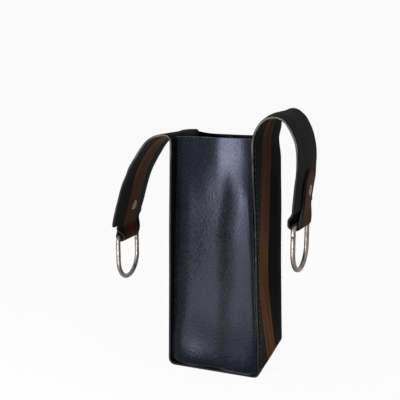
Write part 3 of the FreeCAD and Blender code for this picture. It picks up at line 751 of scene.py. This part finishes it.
def stitchTree():
    tree = bpy.data.node_groups.new("seamStitches", "GeometryNodeTree")
    tree.interface.new_socket("Geometry", in_out="INPUT", socket_type="NodeSocketGeometry")
    for label in ("Pitch", "Stitch Length", "Thread Width"):
        tree.interface.new_socket(label, in_out="INPUT", socket_type="NodeSocketFloat")
    tree.interface.new_socket("Thread", in_out="INPUT", socket_type="NodeSocketMaterial")
    tree.interface.new_socket("Geometry", in_out="OUTPUT", socket_type="NodeSocketGeometry")
    given = addNode(tree, "NodeGroupInput").outputs
    line = addNode(tree, "GeometryNodeMeshToCurve", {"Mesh": given["Geometry"]})
    steps = addNode(tree, "GeometryNodeResampleCurve", {
        "Curve": line.outputs["Curve"], "Length": given["Pitch"]}, mode="LENGTH")
    tangent = addNode(tree, "GeometryNodeInputTangent")
    turn = addNode(tree, "FunctionNodeAlignEulerToVector", {"Vector": tangent.outputs["Tangent"]}, axis="Z")
    # a bead one unit across, then scaled to the thread's width and the stitch's length
    bead = addNode(tree, "GeometryNodeMeshUVSphere", {
        "Segments": stitches["beadSides"], "Rings": stitches["beadRings"], "Radius": 0.5})
    size = addNode(tree, "ShaderNodeCombineXYZ", {
        "X": given["Thread Width"], "Y": given["Thread Width"], "Z": given["Stitch Length"]})
    placed = addNode(tree, "GeometryNodeInstanceOnPoints", {
        "Points": steps.outputs["Curve"], "Instance": bead.outputs["Mesh"],
        "Rotation": turn.outputs["Rotation"], "Scale": size.outputs["Vector"]})
    real = addNode(tree, "GeometryNodeRealizeInstances", {"Geometry": placed.outputs["Instances"]})
    smooth = addNode(tree, "GeometryNodeSetShadeSmooth", {"Geometry": real.outputs["Geometry"]})
    finished = addNode(tree, "GeometryNodeSetMaterial", {
        "Geometry": smooth.outputs["Geometry"], "Material": given["Thread"]})
    addNode(tree, "NodeGroupOutput", {"Geometry": finished.outputs["Geometry"]})
    return tree


def seamLine(y):
    points, links = [], []
    stops = spread(-wallRun + stitches["fromBase"], -stitches["fromRoot"], stitches["lineStep"])
    for side in ("left", "right"):
        line = [stripPoint(side, s, y, strip["half"] + stitches["lift"]) * mm for s in stops]
        links += [(len(points) + i, len(points) + i + 1) for i in range(len(line) - 1)]
        points += line
    return points, links


seamTree = stitchTree()
seamSizes = {
    "Pitch": stitches["pitch"] * mm, "Stitch Length": stitches["length"] * mm,
    "Thread Width": stitches["thread"] * mm, "Thread": seamThread,
}
for name, facing, node in (
        ("frontSeamStitches", -1, "front_seam_thread"), ("backSeamStitches", 1, "back_seam_thread")):
    points, links = seamLine(facing * (strip["halfWidth"] - stitches["inset"]))
    guide = bpy.data.meshes.new(name + "Line")
    guide.from_pydata(points, links, [])
    row = bpy.data.objects.new(name, guide)
    bpy.context.collection.objects.link(row)
    modifier = row.modifiers.new("stitches", "NODES")
    modifier.node_group = seamTree
    for item in seamTree.interface.items_tree:
        if item.in_out == "INPUT" and item.name in seamSizes:
            modifier[item.identifier] = seamSizes[item.name]
    bpy.context.view_layer.update()
    beads = bpy.data.meshes.new_from_object(row.evaluated_get(bpy.context.evaluated_depsgraph_get()))
    row.modifiers.clear()
    row.data = beads
    if not beads.materials:
        beads.materials.append(seamThread)
    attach(row, "bag")
    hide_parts(node)
print("seams stitched")


# The metal keeps the solids' shapes and gets its finish here
for label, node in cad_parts.items():
    if "carabiner" in label or "rivet" in label:
        for materialSlot in node.material_slots:
            materialSlot.material = rivetBrass if "rivet" in label else steel
print("metal finished")


# A pale floor that keeps the shadow, and a white surround. "seen" is how white the camera and gloss see it.
studio = {
    "floorReach": 6.0, "floorColour": "#f4f3f1", "floorRough": 0.9, "floorShine": 0.1, "floorSeen": 0.93,
    "world": 0.25, "worldSeen": 0.95,
}
softBoxes = {
    "keySoftBox": {
        "place": (-0.24, -0.76, 0.165), "aim": (0.0, 0.0, 0.16), "size": (0.115, 0.3), "power": 9.3},
    "lowSoftBox": {
        "place": (-0.048, -0.35, 0.012), "aim": (-0.038, -0.32, 0.5), "size": (0.2, 0.58), "power": 3.3},
    "sideSoftBox": {
        "place": (1.5, -0.5, 0.7), "aim": (0.05, 0.0, 0.14), "size": (0.5, 0.9), "power": 3.5},
    "topSoftBox": {
        "place": (0.1, 0.1, 1.6), "aim": (0.0, 0.0, 0.1), "size": (1.2, 1.2), "power": 5.0},
}


# 1 for what the camera sees, straight or in a gloss, and 0 for light that falls on the object
def seenDirectly(tree):
    rays = addNode(tree, "ShaderNodeLightPath").outputs
    seen = rays["Is Camera Ray"]
    for kind in ("Is Glossy Ray", "Is Transmission Ray"):
        seen = addNode(tree, "ShaderNodeMath", {0: seen, 1: rays[kind]}, operation="MAXIMUM").outputs[0]
    return seen


reach = studio["floorReach"]
floorMesh = bpy.data.meshes.new("studioFloor")
floorCorners = [(-reach, -reach, 0), (reach, -reach, 0), (reach, reach, 0), (-reach, reach, 0)]
floorMesh.from_pydata(floorCorners, [], [(0, 1, 2, 3)])
studioFloor = bpy.data.objects.new("studioFloor", floorMesh)
bpy.context.collection.objects.link(studioFloor)
floorPaint, floorTree = newMaterial("palePaintedFloor")
paint = addNode(floorTree, "ShaderNodeBsdfPrincipled", {
    "Base Color": hexColour(studio["floorColour"]), "Roughness": studio["floorRough"],
    "Specular IOR Level": studio["floorShine"]})
white = addNode(floorTree, "ShaderNodeEmission", {"Color": (1, 1, 1, 1), "Strength": 1.0})
share = addNode(floorTree, "ShaderNodeMath", {
    0: seenDirectly(floorTree), 1: studio["floorSeen"]}, operation="MULTIPLY")
floorMix = addNode(floorTree, "ShaderNodeMixShader", {
    0: share.outputs[0], 1: paint.outputs["BSDF"], 2: white.outputs["Emission"]})
addNode(floorTree, "ShaderNodeOutputMaterial", {"Surface": floorMix.outputs["Shader"]})
floorMesh.materials.append(floorPaint)

world = bpy.data.worlds.new("studioWorld")
bpy.context.scene.world = world
world.use_nodes = True
sky = world.node_tree
sky.nodes.clear()
level = addNode(sky, "ShaderNodeMapRange", {
    "Value": seenDirectly(sky), "To Min": studio["world"], "To Max": studio["worldSeen"]})
glow = addNode(sky, "ShaderNodeBackground", {"Color": (1, 1, 1, 1), "Strength": level.outputs["Result"]})
addNode(sky, "ShaderNodeOutputWorld", {"Surface": glow.outputs["Background"]})

for name, box in softBoxes.items():
    lamp = bpy.data.lights.new(name, "AREA")
    lamp.shape = "RECTANGLE"
    lamp.size, lamp.size_y = box["size"]
    lamp.energy = box["power"]
    lampObject = bpy.data.objects.new(name, lamp)
    lampObject.location = box["place"]
    towards = Vector(box["aim"]) - Vector(box["place"])
    lampObject.rotation_euler = towards.to_track_quat("-Z", "Y").to_euler()
    bpy.context.collection.objects.link(lampObject)

# The camera that fits the photograph, its focal length in pixels of a 400-pixel image
view = {
    "place": (0.2019, -0.6210, 0.2882), "yaw": 20.7, "pitch": 10.04, "focalPixels": 622.6, "image": 400.0,
    "sensor": 36.0, "clip": 0.01,
}
lens = bpy.data.cameras.new("photoCamera")
lens.sensor_fit = "HORIZONTAL"
lens.sensor_width = view["sensor"]
lens.lens = view["focalPixels"] / view["image"] * view["sensor"]
lens.clip_start = view["clip"]
camera = bpy.data.objects.new("photoCamera", lens)
camera.location = view["place"]
camera.rotation_euler = (math.radians(90 - view["pitch"]), 0, math.radians(view["yaw"]))
bpy.context.collection.objects.link(camera)
bpy.context.scene.camera = camera
bpy.context.scene.view_settings.view_transform = "Standard"
print("studio set")
